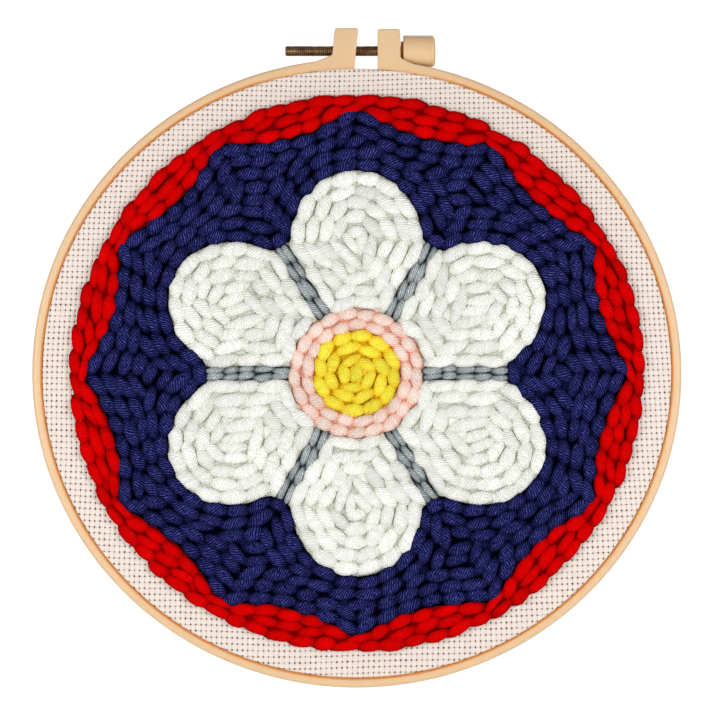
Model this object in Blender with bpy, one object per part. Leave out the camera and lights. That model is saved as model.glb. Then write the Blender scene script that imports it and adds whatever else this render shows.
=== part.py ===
"""A punch needle wall piece, stretched in the two-ring embroidery hoop that holds it.

The piece hangs upright in the XZ plane: its front looks along -Y and its back lies on the wall at +Y.
The origin is where a nail carries it: on the underside of the screw, midway between the two lugs.
The hoop, the cloth and the stitched areas are drawn about the hoop's own middle, and the screw and
its knob about the screw's axis. All lengths are in metres.
"""

import math

import bmesh
import bpy
from mathutils import Vector

# Clearance between pieces that touch on the real object
SEAT_GAP = 0.0003

# Outer ring, a slightly oval one, with its lugs
HALF_WIDTH = 0.1072
HALF_HEIGHT = 0.1038
HOOP_DEPTH = 0.012
RING_WALL = 0.0032
RING_EDGE_ROUND = 0.0006
RING_STEPS = 96

# Screw, along X through both lugs
SCREW_HEIGHT = 0.1069
SCREW_RADIUS = 0.0017
SCREW_LEFT_END = -0.0237
SCREW_RIGHT_END = 0.0220
SCREW_CHAMFER = 0.0004
HOLE_CLEARANCE = 0.00035
HOLE_LEFT_END = -0.010

# Lugs, measured from the hoop's middle: the left one leans, the right one stands upright
LEFT_LUG = {
    "inner_top": 0.0005,
    "inner_foot": -0.0009,
    "outer_top": -0.0073,
    "outer_foot": -0.0081,
    "top_height": 0.1140,
    "gusset_height": 0.1052,
    "gusset_reach": -0.0135,
}
RIGHT_LUG = {
    "inner_top": 0.0069,
    "inner_foot": 0.0069,
    "outer_top": 0.0143,
    "outer_foot": 0.0145,
    "top_height": 0.1137,
    "gusset_height": 0.1042,
    "gusset_reach": 0.0185,
}

# Knob with its short neck, turned about the screw's axis
NECK_LEFT = 0.0146
NECK_RADIUS = 0.0033
KNOB_LEFT = 0.0154
KNOB_RIGHT = 0.0260
KNOB_RADIUS = 0.0053
KNOB_RIM_BEVEL = 0.0004
KNOB_END_ROUND = 0.0014
KNOB_ROOM = 0.0004

# Cloth, drawn over the inner ring and back between the two rings
CLOTH_THICKNESS = 0.001
CLOTH_SETBACK = 0.0005
CLOTH_TRIM = 0.0004
CLOTH_BEND = 0.0016
BEND_STEPS = 3

# Steps round the pieces that are swept about the hoop's middle
ROUND_STEPS = 72

# Inner ring
INNER_WALL = 0.0035
INNER_CHAMFER = 0.0009

# Stitched field: an oval of yarn, its outlines given by a width and scaled to the hoop's proportion
FIELD_HALF_WIDTH = 0.0947
FIELD_PROPORTION = 0.971
YARN_HEIGHT = 0.003
YARN_RIM = 0.0009
LOOP_HEIGHT = 0.0045

# Flower in the middle of the field
CENTRE_RADIUS = 0.0145
PINK_RADIUS = 0.0220
PETALS = 6
PETAL_NOTCH = 0.040
PETAL_TIP = 0.0690
PETAL_ROUNDNESS = 0.70
VEIN_END = 0.050
VEIN_HALF_WIDTH = 0.0023

# Scalloped border at the field's edge
SCALLOPS = 12
BORDER_NARROW = 0.0042
BORDER_WIDE = 0.0116
SCALLOP_ROUNDNESS = 0.8

FULL_TURN = 2.0 * math.pi
FRONT = -HOOP_DEPTH / 2
BACK = HOOP_DEPTH / 2
CLOTH_FRONT = FRONT + CLOTH_SETBACK
CLOTH_BACK = CLOTH_FRONT + CLOTH_THICKNESS
YARN_BACK = CLOTH_FRONT - SEAT_GAP
YARN_FRONT = YARN_BACK - YARN_HEIGHT
LOOP_FRONT = CLOTH_BACK + SEAT_GAP
LOOP_BACK = LOOP_FRONT + LOOP_HEIGHT
GAP_MIDDLE = (LEFT_LUG["inner_top"] + LEFT_LUG["inner_foot"]) / 4 + RIGHT_LUG["inner_top"] / 2
HOOP_MIDDLE = Vector((-GAP_MIDDLE, 0.0, SCREW_RADIUS - SCREW_HEIGHT))
SCREW_AXIS = Vector((-GAP_MIDDLE, 0.0, SCREW_RADIUS))

FINISHES = {
    "hoop_plastic": {"color": (0.80, 0.54, 0.33), "roughness": 0.42, "metallic": 0.0},
    "screw_metal": {"color": (0.24, 0.15, 0.07), "roughness": 0.38, "metallic": 1.0},
    "cloth": {"color": (0.80, 0.73, 0.65), "roughness": 0.90, "metallic": 0.0},
    "navy_yarn": {"color": (0.013, 0.013, 0.110), "roughness": 0.85, "metallic": 0.0},
    "white_yarn": {"color": (0.84, 0.85, 0.79), "roughness": 0.85, "metallic": 0.0},
    "red_yarn": {"color": (0.62, 0.002, 0.004), "roughness": 0.85, "metallic": 0.0},
    "grey_yarn": {"color": (0.30, 0.35, 0.37), "roughness": 0.85, "metallic": 0.0},
    "pink_yarn": {"color": (0.95, 0.58, 0.47), "roughness": 0.85, "metallic": 0.0},
    "yellow_yarn": {"color": (0.93, 0.66, 0.03), "roughness": 0.85, "metallic": 0.0},
}


def clear_scene():
    """Remove whatever the file holds, so that only the wall piece is left."""
    for thing in list(bpy.data.objects):
        bpy.data.objects.remove(thing, do_unlink=True)


def finish(name):
    """The finish of that name, made once."""
    if name in bpy.data.materials:
        return bpy.data.materials[name]
    material = bpy.data.materials.new(name)
    material.use_nodes = True
    surface = material.node_tree.nodes["Principled BSDF"]
    values = FINISHES[name]
    surface.inputs["Base Color"].default_value = (*values["color"], 1.0)
    surface.inputs["Roughness"].default_value = values["roughness"]
    surface.inputs["Metallic"].default_value = values["metallic"]
    return material


def guide(name, place):
    """An empty that pieces are hung on."""
    empty = bpy.data.objects.new(name, None)
    empty.location = place
    bpy.context.scene.collection.objects.link(empty)
    return empty


def piece(name, shape, finish_name, parent):
    """Turn a bmesh into a named object with its faces pointing out."""
    bmesh.ops.remove_doubles(shape, verts=shape.verts, dist=0.000001)
    bmesh.ops.recalc_face_normals(shape, faces=shape.faces)
    mesh = bpy.data.meshes.new(name)
    shape.to_mesh(mesh)
    shape.free()
    mesh.shade_smooth()
    mesh.set_sharp_from_angle(angle=math.radians(35.0))
    body = bpy.data.objects.new(name, mesh)
    mesh.materials.append(finish(finish_name))
    body.parent = parent
    bpy.context.scene.collection.objects.link(body)
    return body


def oval(half_width, half_height, angle):
    """Point of an oval at that angle, in the hoop's plane."""
    return half_width * math.cos(angle), half_height * math.sin(angle)


def oval_height(half_width, half_height, across):
    """Height of an oval's upper half at a distance from its middle line."""
    return half_height * math.sqrt(1.0 - (across / half_width) ** 2)


def oval_run(half_width, half_height, first, last, steps):
    """Points along an oval from one angle to another, both ends included."""
    turns = [first + (last - first) * step / steps for step in range(steps + 1)]
    return [oval(half_width, half_height, turn) for turn in turns]


def lug_corners(lug):
    """Corners of a lug from its foot in the gap, over its top, to the end of its gusset."""
    inner_half_width = HALF_WIDTH - RING_WALL
    inner_half_height = HALF_HEIGHT - RING_WALL
    foot = oval_height(inner_half_width, inner_half_height, lug["inner_foot"])
    reach = oval_height(HALF_WIDTH, HALF_HEIGHT, lug["gusset_reach"])
    return [
        (lug["inner_foot"], foot),
        (lug["inner_top"], lug["top_height"]),
        (lug["outer_top"], lug["top_height"]),
        (lug["outer_foot"], lug["gusset_height"]),
        (lug["gusset_reach"], reach),
    ]


def hoop_outline():
    """Front outline of the split outer ring: right lug, outer arc, left lug, inner arc."""
    inner_half_width = HALF_WIDTH - RING_WALL
    inner_half_height = HALF_HEIGHT - RING_WALL
    right = lug_corners(RIGHT_LUG)
    left = lug_corners(LEFT_LUG)
    outer_first = math.acos(RIGHT_LUG["gusset_reach"] / HALF_WIDTH)
    outer_last = math.acos(LEFT_LUG["gusset_reach"] / HALF_WIDTH) - FULL_TURN
    inner_first = math.acos(LEFT_LUG["inner_foot"] / inner_half_width) - FULL_TURN
    inner_last = math.acos(RIGHT_LUG["inner_foot"] / inner_half_width)
    outer_arc = oval_run(HALF_WIDTH, HALF_HEIGHT, outer_first, outer_last, RING_STEPS)
    inner_arc = oval_run(inner_half_width, inner_half_height, inner_first, inner_last, RING_STEPS)
    return right + outer_arc[1:-1] + left[::-1] + inner_arc[1:-1]


def turned(profile, sides):
    """Spin a profile of (place along X, radius) points once round the X axis."""
    shape = bmesh.new()
    points = [shape.verts.new((along, 0.0, radius)) for along, radius in profile]
    edges = [shape.edges.new(pair) for pair in zip(points, points[1:])]
    bmesh.ops.spin(
        shape,
        geom=points + edges,
        cent=(0.0, 0.0, 0.0),
        axis=(1.0, 0.0, 0.0),
        angle=FULL_TURN,
        steps=sides,
        use_merge=True,
    )
    return shape


def swept_round(profile, closed):
    """Carry a profile of (inset from the outer ring's oval, depth) points round that oval.

    An open profile starts and ends on the hoop's middle line, and closes there in a fan.
    """
    shape = bmesh.new()
    rings = []
    for inset, depth in profile:
        ring = []
        for step in range(ROUND_STEPS):
            across, up = oval(HALF_WIDTH - inset, HALF_HEIGHT - inset, FULL_TURN * step / ROUND_STEPS)
            ring.append(shape.verts.new((across, depth, up)))
        rings.append(ring)
    pairs = list(zip(rings, rings[1:]))
    if closed:
        pairs.append((rings[-1], rings[0]))
    for near, far in pairs:
        for step in range(ROUND_STEPS):
            after = (step + 1) % ROUND_STEPS
            shape.faces.new((near[step], near[after], far[after], far[step]))
    if not closed:
        shape.faces.new(rings[0])
        shape.faces.new(rings[-1])
    return shape


def make_outer_hoop(parent, screw_parent):
    """Split ring with two lugs, bored for the screw and hollowed where the knob turns."""
    shape = bmesh.new()
    corners = [shape.verts.new((across, FRONT, up)) for across, up in hoop_outline()]
    front = shape.faces.new(corners)
    pushed = bmesh.ops.extrude_face_region(shape, geom=[front])
    moved = [item for item in pushed["geom"] if isinstance(item, bmesh.types.BMVert)]
    bmesh.ops.translate(shape, verts=moved, vec=(0.0, HOOP_DEPTH, 0.0))
    hoop = piece("outer_hoop", shape, "hoop_plastic", parent)

    rounding = hoop.modifiers.new("rounded edges", "BEVEL")
    rounding.width = RING_EDGE_ROUND
    rounding.segments = 2
    rounding.limit_method = "ANGLE"
    rounding.angle_limit = math.radians(60.0)

    hole = SCREW_RADIUS + HOLE_CLEARANCE
    neck_room = NECK_LEFT - SEAT_GAP
    knob_room = KNOB_LEFT - SEAT_GAP
    room = [
        (HOLE_LEFT_END, 0.0),
        (HOLE_LEFT_END, hole),
        (neck_room, hole),
        (neck_room, NECK_RADIUS + KNOB_ROOM),
        (knob_room, NECK_RADIUS + KNOB_ROOM),
        (knob_room, KNOB_RADIUS + KNOB_ROOM),
        (KNOB_RIGHT + KNOB_ROOM, KNOB_RADIUS + KNOB_ROOM),
        (KNOB_RIGHT + KNOB_ROOM, 0.0),
    ]
    cutter = piece("screw_room", turned(room, 24), "hoop_plastic", screw_parent)
    cutter.hide_render = True
    cutter.display_type = "WIRE"
    boring = hoop.modifiers.new("screw holes", "BOOLEAN")
    boring.operation = "DIFFERENCE"
    boring.object = cutter


def make_inner_hoop(parent):
    """Plain ring under the cloth, chamfered all round."""
    outside = RING_WALL + 2 * SEAT_GAP + CLOTH_THICKNESS
    inside = outside + INNER_WALL
    front = CLOTH_BACK + SEAT_GAP
    profile = [
        (outside, front + INNER_CHAMFER),
        (outside + INNER_CHAMFER, front),
        (inside - INNER_CHAMFER / 2, front),
        (inside, front + INNER_CHAMFER / 2),
        (inside, BACK - INNER_CHAMFER / 2),
        (inside - INNER_CHAMFER / 2, BACK),
        (outside + INNER_CHAMFER / 2, BACK),
        (outside, BACK - INNER_CHAMFER / 2),
    ]
    piece("inner_hoop", swept_round(profile, True), "hoop_plastic", parent)


def bend(edge_inset, face_depth, radius):
    """Quarter round from the cloth's flat face to its skirt, as (inset, depth) points."""
    points = []
    for step in range(BEND_STEPS + 1):
        turn = math.pi / 2 * step / BEND_STEPS
        inset = edge_inset + radius * (1.0 - math.sin(turn))
        points.append((inset, face_depth + radius * (1.0 - math.cos(turn))))
    return points


def make_cloth(parent):
    """One stretched sheet: a flat face, a bend over the inner ring and a skirt between the rings."""
    outside = RING_WALL + SEAT_GAP
    inside = outside + CLOTH_THICKNESS
    trimmed = BACK - CLOTH_TRIM
    outer_face = bend(outside, CLOTH_FRONT, CLOTH_BEND) + [(outside, trimmed)]
    inner_face = bend(inside, CLOTH_BACK, CLOTH_BEND - CLOTH_THICKNESS) + [(inside, trimmed)]
    piece("cloth", swept_round(outer_face + inner_face[::-1], False), "cloth", parent)


def make_screw(parent):
    """Threaded rod, its ends chamfered."""
    tip = SCREW_RADIUS - SCREW_CHAMFER
    profile = [
        (SCREW_LEFT_END, 0.0),
        (SCREW_LEFT_END, tip),
        (SCREW_LEFT_END + SCREW_CHAMFER, SCREW_RADIUS),
        (SCREW_RIGHT_END - SCREW_CHAMFER, SCREW_RADIUS),
        (SCREW_RIGHT_END, tip),
        (SCREW_RIGHT_END, 0.0),
    ]
    piece("bolt", turned(profile, 16), "screw_metal", parent)


def make_knob(parent):
    """Smooth round knob with a short neck and a blind bore that the screw's end sits in."""
    bore = SCREW_RADIUS + SEAT_GAP
    floor = SCREW_RIGHT_END + SEAT_GAP
    half_round = KNOB_END_ROUND * (1.0 - math.sqrt(0.5))
    profile = [
        (floor, 0.0),
        (floor, bore),
        (NECK_LEFT, bore),
        (NECK_LEFT, NECK_RADIUS),
        (KNOB_LEFT, NECK_RADIUS),
        (KNOB_LEFT, KNOB_RADIUS - KNOB_RIM_BEVEL),
        (KNOB_LEFT + KNOB_RIM_BEVEL, KNOB_RADIUS),
        (KNOB_RIGHT - KNOB_END_ROUND, KNOB_RADIUS),
        (KNOB_RIGHT - half_round, KNOB_RADIUS - half_round),
        (KNOB_RIGHT, KNOB_RADIUS - KNOB_END_ROUND),
        (KNOB_RIGHT, 0.0),
    ]
    piece("knob", turned(profile, 24), "hoop_plastic", parent)


def field_point(radius, angle):
    """Point of the stitched field, in the hoop's proportion."""
    return radius * math.cos(angle), FIELD_PROPORTION * radius * math.sin(angle)


def flower_radius(angle):
    """Edge of the flower: rounded petals, the first pointing up, that stop at the veins' ends."""
    lobe = abs(math.cos(PETALS / 2 * (angle - math.pi / 2))) ** PETAL_ROUNDNESS
    return max(VEIN_END, PETAL_NOTCH + (PETAL_TIP - PETAL_NOTCH) * lobe)


def border_radius(angle):
    """Inner edge of the border: scallops that swell inwards."""
    swell = abs(math.sin(SCALLOPS / 2 * angle)) ** SCALLOP_ROUNDNESS
    return FIELD_HALF_WIDTH - BORDER_NARROW - (BORDER_WIDE - BORDER_NARROW) * swell


def field_loop(radius_at, grow, steps):
    """Closed run of field points at a radius that may follow the angle."""
    turns = [FULL_TURN * step / steps for step in range(steps)]
    return [field_point(radius_at(turn) + grow, turn) for turn in turns]


def thicken(shape, flat_faces, start, top):
    """Push flat faces from one depth to another and chamfer the rim that they end in."""
    shoulder = top - math.copysign(YARN_RIM, top - start)
    pushed = bmesh.ops.extrude_face_region(shape, geom=flat_faces)
    moved = [item for item in pushed["geom"] if isinstance(item, bmesh.types.BMVert)]
    end = [item for item in pushed["geom"] if isinstance(item, bmesh.types.BMFace)]
    bmesh.ops.translate(shape, verts=moved, vec=(0.0, shoulder - start, 0.0))
    bmesh.ops.inset_region(shape, faces=end, thickness=YARN_RIM, use_even_offset=True)
    inside = list({corner for face in end for corner in face.verts})
    bmesh.ops.translate(shape, verts=inside, vec=(0.0, top - shoulder, 0.0))


def make_patch(name, outline, start, top, finish_name, parent):
    """Area of yarn with one outline, from one depth to another."""
    shape = bmesh.new()
    face = shape.faces.new([shape.verts.new((across, start, up)) for across, up in outline])
    thicken(shape, [face], start, top)
    piece(name, shape, finish_name, parent)


def make_band(name, inner, outer, finish_name, parent):
    """Stitched area between two outlines with the same number of points."""
    shape = bmesh.new()
    near = [shape.verts.new((across, YARN_BACK, up)) for across, up in inner]
    far = [shape.verts.new((across, YARN_BACK, up)) for across, up in outer]
    faces = []
    for step in range(len(near)):
        after = (step + 1) % len(near)
        faces.append(shape.faces.new((near[step], near[after], far[after], far[step])))
    thicken(shape, faces, YARN_BACK, YARN_FRONT)
    piece(name, shape, finish_name, parent)


def petal_outline(middle):
    """Outline of the petal that points at that angle, between two veins."""
    half_turn = math.pi / PETALS
    side = VEIN_HALF_WIDTH + SEAT_GAP
    root = PINK_RADIUS + SEAT_GAP
    root_turn = half_turn - math.asin(side / root)
    edge_turn = half_turn - math.asin(side / VEIN_END)
    root_steps = 4
    edge_steps = 18
    outline = []
    for step in range(root_steps + 1):
        turn = middle + root_turn - 2.0 * root_turn * step / root_steps
        outline.append(field_point(root, turn))
    for step in range(edge_steps + 1):
        turn = middle - edge_turn + 2.0 * edge_turn * step / edge_steps
        outline.append(field_point(flower_radius(turn), turn))
    return outline


def vein_outline(direction):
    """Narrow bar between two petals, from the pink ring to the flower's edge."""
    outline = []
    for radius, sides in ((PINK_RADIUS + SEAT_GAP, (-1, 1)), (VEIN_END, (1, 0, -1))):
        for side in sides:
            turn = direction + side * math.asin(VEIN_HALF_WIDTH / radius)
            outline.append(field_point(radius, turn))
    return outline


def make_field(parent):
    """All stitched areas, from the middle of the flower out to the border."""
    centre = field_loop(lambda turn: CENTRE_RADIUS, 0.0, 36)
    make_patch("yellow_centre", centre, YARN_BACK, YARN_FRONT, "yellow_yarn", parent)
    pink_inner = field_loop(lambda turn: CENTRE_RADIUS, SEAT_GAP, 48)
    pink_outer = field_loop(lambda turn: PINK_RADIUS, 0.0, 48)
    make_band("pink_ring", pink_inner, pink_outer, "pink_yarn", parent)
    for index in range(PETALS):
        middle = math.pi / 2 + FULL_TURN * index / PETALS
        petal = petal_outline(middle)
        make_patch(f"white_petal_{index + 1}", petal, YARN_BACK, YARN_FRONT, "white_yarn", parent)
        vein = vein_outline(middle + math.pi / PETALS)
        make_patch(f"grey_vein_{index + 1}", vein, YARN_BACK, YARN_FRONT, "grey_yarn", parent)
    ground_inner = field_loop(flower_radius, SEAT_GAP, 120)
    ground_outer = field_loop(border_radius, -SEAT_GAP, 120)
    make_band("navy_ground", ground_inner, ground_outer, "navy_yarn", parent)
    border_inner = field_loop(border_radius, 0.0, 120)
    border_outer = field_loop(lambda turn: FIELD_HALF_WIDTH, 0.0, 120)
    make_band("red_border", border_inner, border_outer, "red_yarn", parent)


def make_loop_pile(parent):
    """Yarn loops behind the cloth, as one low pad."""
    outline = field_loop(lambda turn: FIELD_HALF_WIDTH, 0.0, ROUND_STEPS)
    make_patch("loop_pile", outline, LOOP_FRONT, LOOP_BACK, "navy_yarn", parent)


def main():
    """Build every piece of the wall piece and its hoop."""
    clear_scene()
    hoop_middle = guide("hoop_middle", HOOP_MIDDLE)
    screw_axis = guide("screw_axis", SCREW_AXIS)
    make_outer_hoop(hoop_middle, screw_axis)
    make_inner_hoop(hoop_middle)
    make_cloth(hoop_middle)
    make_screw(screw_axis)
    make_knob(screw_axis)
    make_field(hoop_middle)
    make_loop_pile(hoop_middle)


main()
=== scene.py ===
"""Looks of a punch needle wall piece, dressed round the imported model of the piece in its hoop.

Each piece made here lies where its solid lies and replaces it: the split ring with its lugs, the
plain ring, the threaded screw and its knob, the open-weave cloth, the rows of stitches on the front
and the loops of yarn behind. Points in the plane of the hoop are complex numbers, across + i * up,
measured from the hoop's middle. Depth runs along Y, and the stitched front looks along -Y.
All lengths are in metres and all angles in radians.
"""

import math

import bpy
import numpy as np
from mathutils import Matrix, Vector


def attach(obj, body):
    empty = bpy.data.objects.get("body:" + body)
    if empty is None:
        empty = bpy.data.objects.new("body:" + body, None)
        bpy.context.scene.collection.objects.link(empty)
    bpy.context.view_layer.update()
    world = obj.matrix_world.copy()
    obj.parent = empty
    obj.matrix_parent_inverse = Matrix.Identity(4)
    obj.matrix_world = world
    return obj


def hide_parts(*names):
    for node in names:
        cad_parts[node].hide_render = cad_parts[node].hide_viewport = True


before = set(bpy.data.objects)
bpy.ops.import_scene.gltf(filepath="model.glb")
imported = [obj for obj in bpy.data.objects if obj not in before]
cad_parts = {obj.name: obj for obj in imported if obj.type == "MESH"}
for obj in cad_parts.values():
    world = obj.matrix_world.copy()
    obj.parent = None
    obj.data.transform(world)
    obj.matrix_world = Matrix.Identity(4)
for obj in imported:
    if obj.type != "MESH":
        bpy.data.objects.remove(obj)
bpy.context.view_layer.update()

FULL_TURN = 2.0 * math.pi

# Outer ring, as in the part's source
HOOP_MIDDLE = (-0.00335, 0.0, -0.1052)
HALF_WIDTH = 0.1072
HALF_HEIGHT = 0.1038
FRONT = -0.006
BACK = 0.006
RING_WALL = 0.0032
LEFT_LUG = {
    "inner_top": 0.0005,
    "inner_foot": -0.0009,
    "outer_top": -0.0073,
    "outer_foot": -0.0081,
    "top_height": 0.1140,
    "gusset_height": 0.1052,
    "gusset_reach": -0.0135,
}
RIGHT_LUG = {
    "inner_top": 0.0069,
    "inner_foot": 0.0069,
    "outer_top": 0.0143,
    "outer_foot": 0.0145,
    "top_height": 0.1137,
    "gusset_height": 0.1042,
    "gusset_reach": 0.0185,
}
ARC_STEPS = 420
CORNER_POINTS = 6
LUG_MARGIN = 0.0020
LUG_CORNER = 0.0009
GUSSET_CORNER = 0.0005
FOOT_CORNER = 0.0006
OUTER_EDGE_ROUND = 0.0012
LUG_EDGE_ROUND = 0.0006
INNER_EDGE_ROUND = 0.0003
EDGE_CHANGE_POINTS = 8
# Heights below which the painted shade of the ring's inner edge fades out under the lugs
EDGE_FADE_LOW = -0.0110
EDGE_FADE_HIGH = -0.0055
BACK_EDGE_ROUND = 0.0006
ROUND_STEPS = 5

# Band of painted shade and painted glow at that ring's inner edge, as shares of the ring's half width
EDGE_BAND_START = 0.0030
EDGE_BAND_END = 0.0075
EDGE_BAND_INSIDE = 0.0016

# Screw and knob, along X about the screw's axis
SCREW_AXIS = (-0.00335, 0.0, 0.0017)
SCREW_RADIUS = 0.0017
SCREW_ROOT = 0.00156
SCREW_LEFT_END = -0.0237
SCREW_RIGHT_END = 0.0220
SCREW_CHAMFER = 0.0004
THREAD_PITCH = 0.0007
THREAD_STEPS = 6
SCREW_SIDES = 28
HOLE_CLEARANCE = 0.00035
HOLE_LEFT_END = -0.010
NECK_LEFT = 0.0146
NECK_RADIUS = 0.0033
NECK_BEVEL = 0.0002
KNOB_LEFT = 0.0154
KNOB_RIGHT = 0.0260
KNOB_RADIUS = 0.0053
KNOB_RIM_BEVEL = 0.0004
KNOB_END_ROUND = 0.0014
KNOB_GROOVE_START = 0.0004
KNOB_GROOVE_END = 0.0001
KNOB_GROOVE_DEPTH = 0.00012
KNOB_DIMPLE_DEPTH = 0.0002
KNOB_DIMPLE_RIM = 0.0012
KNOB_ROOM = 0.0004
KNOB_SIDES = 72
CUT_SIDES = 64
SEAT_GAP = 0.0003

# Inner ring and cloth
INNER_WALL = 0.0035
INNER_RING_STEPS = 300
INNER_RING_SEAT_ROUND = 0.0009
INNER_RING_EDGE_ROUND = 0.0006
CLOTH_FRONT = -0.0055
CLOTH_BACK = -0.0045
CLOTH_THICKNESS = 0.001
CLOTH_TRIM = 0.0004
CLOTH_BEND = 0.0006
CLOTH_SEAT = 0.00008
CLOTH_STEPS = 1300
CLOTH_HIDDEN_RADIUS = 0.0915
CLOTH_FACE_RINGS = 34
THREAD_RELIEF = 0.00016
HOLE_DEPTH = 0.00038
HOLE_ACROSS = 0.20
HOLE_DOWN = 0.22
WARP_SPACING = 0.001665
WARP_CLOSING = 0.00083
WEFT_RATES = (526.0, 270.0, 1100.0)
THREAD_ROUNDNESS = 0.6
PIT_REACH = 1.25
BACK_RELIEF_SHARE = 0.8

# Stitched field: radii of its outlines, which are scaled to the hoop's proportion
FIELD_HALF_WIDTH = 0.0947
FIELD_PROPORTION = 0.971
CENTRE_RADIUS = 0.0145
PINK_RADIUS = 0.0220
PETALS = 6
PETAL_NOTCH = 0.040
PETAL_TIP = 0.0690
PETAL_ROUNDNESS = 0.70
VEIN_END = 0.050
VEIN_HALF_WIDTH = 0.0023
SCALLOPS = 12
BORDER_NARROW = 0.0042
BORDER_WIDE = 0.0116
SCALLOP_ROUNDNESS = 0.8

# Yarn: heights over the cloth, and the size of a stitch in each colour
YARN_HEIGHT = 0.0033
FULL_WIDTH = 0.0040
FILLER_RISE = 0.66
EDGE_SLANT = math.radians(7.0)
PAD_SETBACK = 0.0010
PAD_STRIDE = 4
# Pads are painted shade: a darker tone and a low crest that picks the yarn's gap colour
PAD_SHADE_TONE = 0.88
PAD_SHADE_CREST = 0.05
LOOP_HEIGHT = 0.0045
LOOP_HALF_SPREAD = 0.0016
LOOP_YARN_RADIUS = 0.00155
LOOP_FLATTENING = 0.88
LOOPS_ALONG_STITCH = (-0.27, 0.27)
LOOP_TALLNESS = (0.86, 1.0)
LOOP_WANDER = 0.0004
LOOP_SWAY = 0.5
BACK_PAD_HEIGHT = 0.0014
STRAND_PITCH = 0.00095
STRANDS_ROUND = 9
OUTLINE_STEP = 0.0005
CELL = 0.0005
STITCH_SIZES = {
    "yellow": {"width": 0.0036, "spacing": 0.0066, "pad": 0.0008},
    "pink": {"width": 0.0034, "spacing": 0.0060, "pad": 0.0012},
    "white": {"width": 0.0042, "spacing": 0.0080, "pad": 0.0011},
    "grey": {"width": 0.0027, "spacing": 0.0060, "pad": 0.0006},
    "navy": {"width": 0.0041, "spacing": 0.0078, "pad": 0.0006},
    "red": {"width": 0.0037, "spacing": 0.0076, "pad": 0.0009},
}

# How far the drawn stitches wander from the settled ones, and when a spot counts as bare
STITCH_SLANT = math.radians(11.0)
STITCH_SWAY = 0.09
STITCH_OVERLAP = (1.28, 1.44)
STITCH_PLUMPNESS = (1.08, 1.26)
STITCH_BOW = 0.00030
TONE_SPREAD = 0.05
FIRST_SEED = 1000
SETTLING_ROUNDS = 3
SETTLING_MOVE = 0.55
SETTLING_TURN = 0.08
ROW_KEPT_APART = 0.74
BARE_DISTANCE = 0.80
BARE_LIMIT = 1.3
DRAWN_HALF_LENGTH = 0.66
DRAWN_HALF_WIDTH = 0.58

# Places round a tube's ring, as shares of a full turn, and the number of rings
STITCH_SHARES = (0.0, 0.11, 0.22, 0.315, 0.41, 0.5, 0.59, 0.685, 0.78, 0.89)
STITCH_RINGS = 8
LOOP_SHARES = (0.0, 1 / 6, 2 / 6, 3 / 6, 4 / 6, 5 / 6)
LOOP_RINGS = 9

# Depth of each finish's relief
YARN_RELIEF = 0.00026
WEAVE_RELIEF = 0.00018
GRAIN_RELIEF = 0.00001

# Light and camera
VIEW_WIDTH = 0.2376
CAMERA_DISTANCE = 1.1
CAMERA_AIM = (-0.0023, -0.1008)
SENSOR_WIDTH = 36.0
FLOOR_HEIGHT = -0.42
FLOOR_CORNERS = ((-0.9, -0.75), (0.9, -0.75), (0.9, 0.55), (-0.9, 0.55))
LIGHTS = (
    ("left light", (-0.37, -0.42, -0.105), 0.3, 1.63),
    ("right light", (0.37, -0.42, -0.105), 0.3, 1.60),
    ("top light", (0.1, -0.9, 0.9), 0.6, 0.3),
    ("back light", (0.3, 1.1, 0.5), 0.9, 9.0),
)


def placed(plane, depth):
    """Turn points of the hoop's plane and their depths into places in the frame."""
    plane, depth = np.broadcast_arrays(plane, depth)
    return np.stack([plane.real + HOOP_MIDDLE[0], depth, plane.imag + HOOP_MIDDLE[2]], axis=-1)


def new_piece(name, points, faces, material, body, corner_uv=None, values=None):
    """Make a piece from its points and faces, its pattern's places and its points' values."""
    mesh = bpy.data.meshes.new(name)
    mesh.from_pydata(points.reshape(-1, 3).tolist(), [], faces)
    if corner_uv is not None:
        layer = mesh.uv_layers.new(name="pattern")
        layer.uv.foreach_set("vector", np.asarray(corner_uv, np.float32).ravel())
    for value_name, amounts in (values or {}).items():
        attribute = mesh.attributes.new(value_name, "FLOAT", "POINT")
        attribute.data.foreach_set("value", np.asarray(amounts, np.float32).ravel())
    mesh.materials.append(material)
    mesh.shade_smooth()
    mesh.update()
    piece = bpy.data.objects.new(name, mesh)
    bpy.context.scene.collection.objects.link(piece)
    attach(piece, body)
    return piece


def ring_quads(rows, columns, close_rows=False):
    """Corner numbers of the quads of a grid whose columns close on themselves."""
    row_pairs = rows if close_rows else rows - 1
    row, column = np.meshgrid(np.arange(row_pairs), np.arange(columns), indexing="ij")
    next_row = (row + 1) % rows
    next_column = (column + 1) % columns
    corners = [row * columns + column, row * columns + next_column]
    corners += [next_row * columns + next_column, next_row * columns + column]
    return np.stack(corners, axis=-1).reshape(-1, 4)


def fan(pole, ring, outward):
    """Triangles from a pole to a closed ring of points."""
    after = np.roll(ring, -1)
    order = [np.full(len(ring), pole), ring, after] if outward else [np.full(len(ring), pole), after, ring]
    return np.stack(order, axis=-1)


def set_inputs(node, inputs):
    """Link or set each of a shader node's inputs, by name or number; returns the node."""
    for name, value in inputs.items():
        value = value.socket if isinstance(value, Amount) else value
        if isinstance(value, bpy.types.NodeSocket):
            node.id_data.links.new(value, node.inputs[name])
        else:
            node.inputs[name].default_value = value
    return node


def add_node(tree, kind, options=None, inputs=None):
    """Add a shader node, set its options, and link or set its inputs."""
    node = tree.nodes.new(kind)
    for name, value in (options or {}).items():
        setattr(node, name, value)
    return set_inputs(node, inputs or {})


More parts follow.
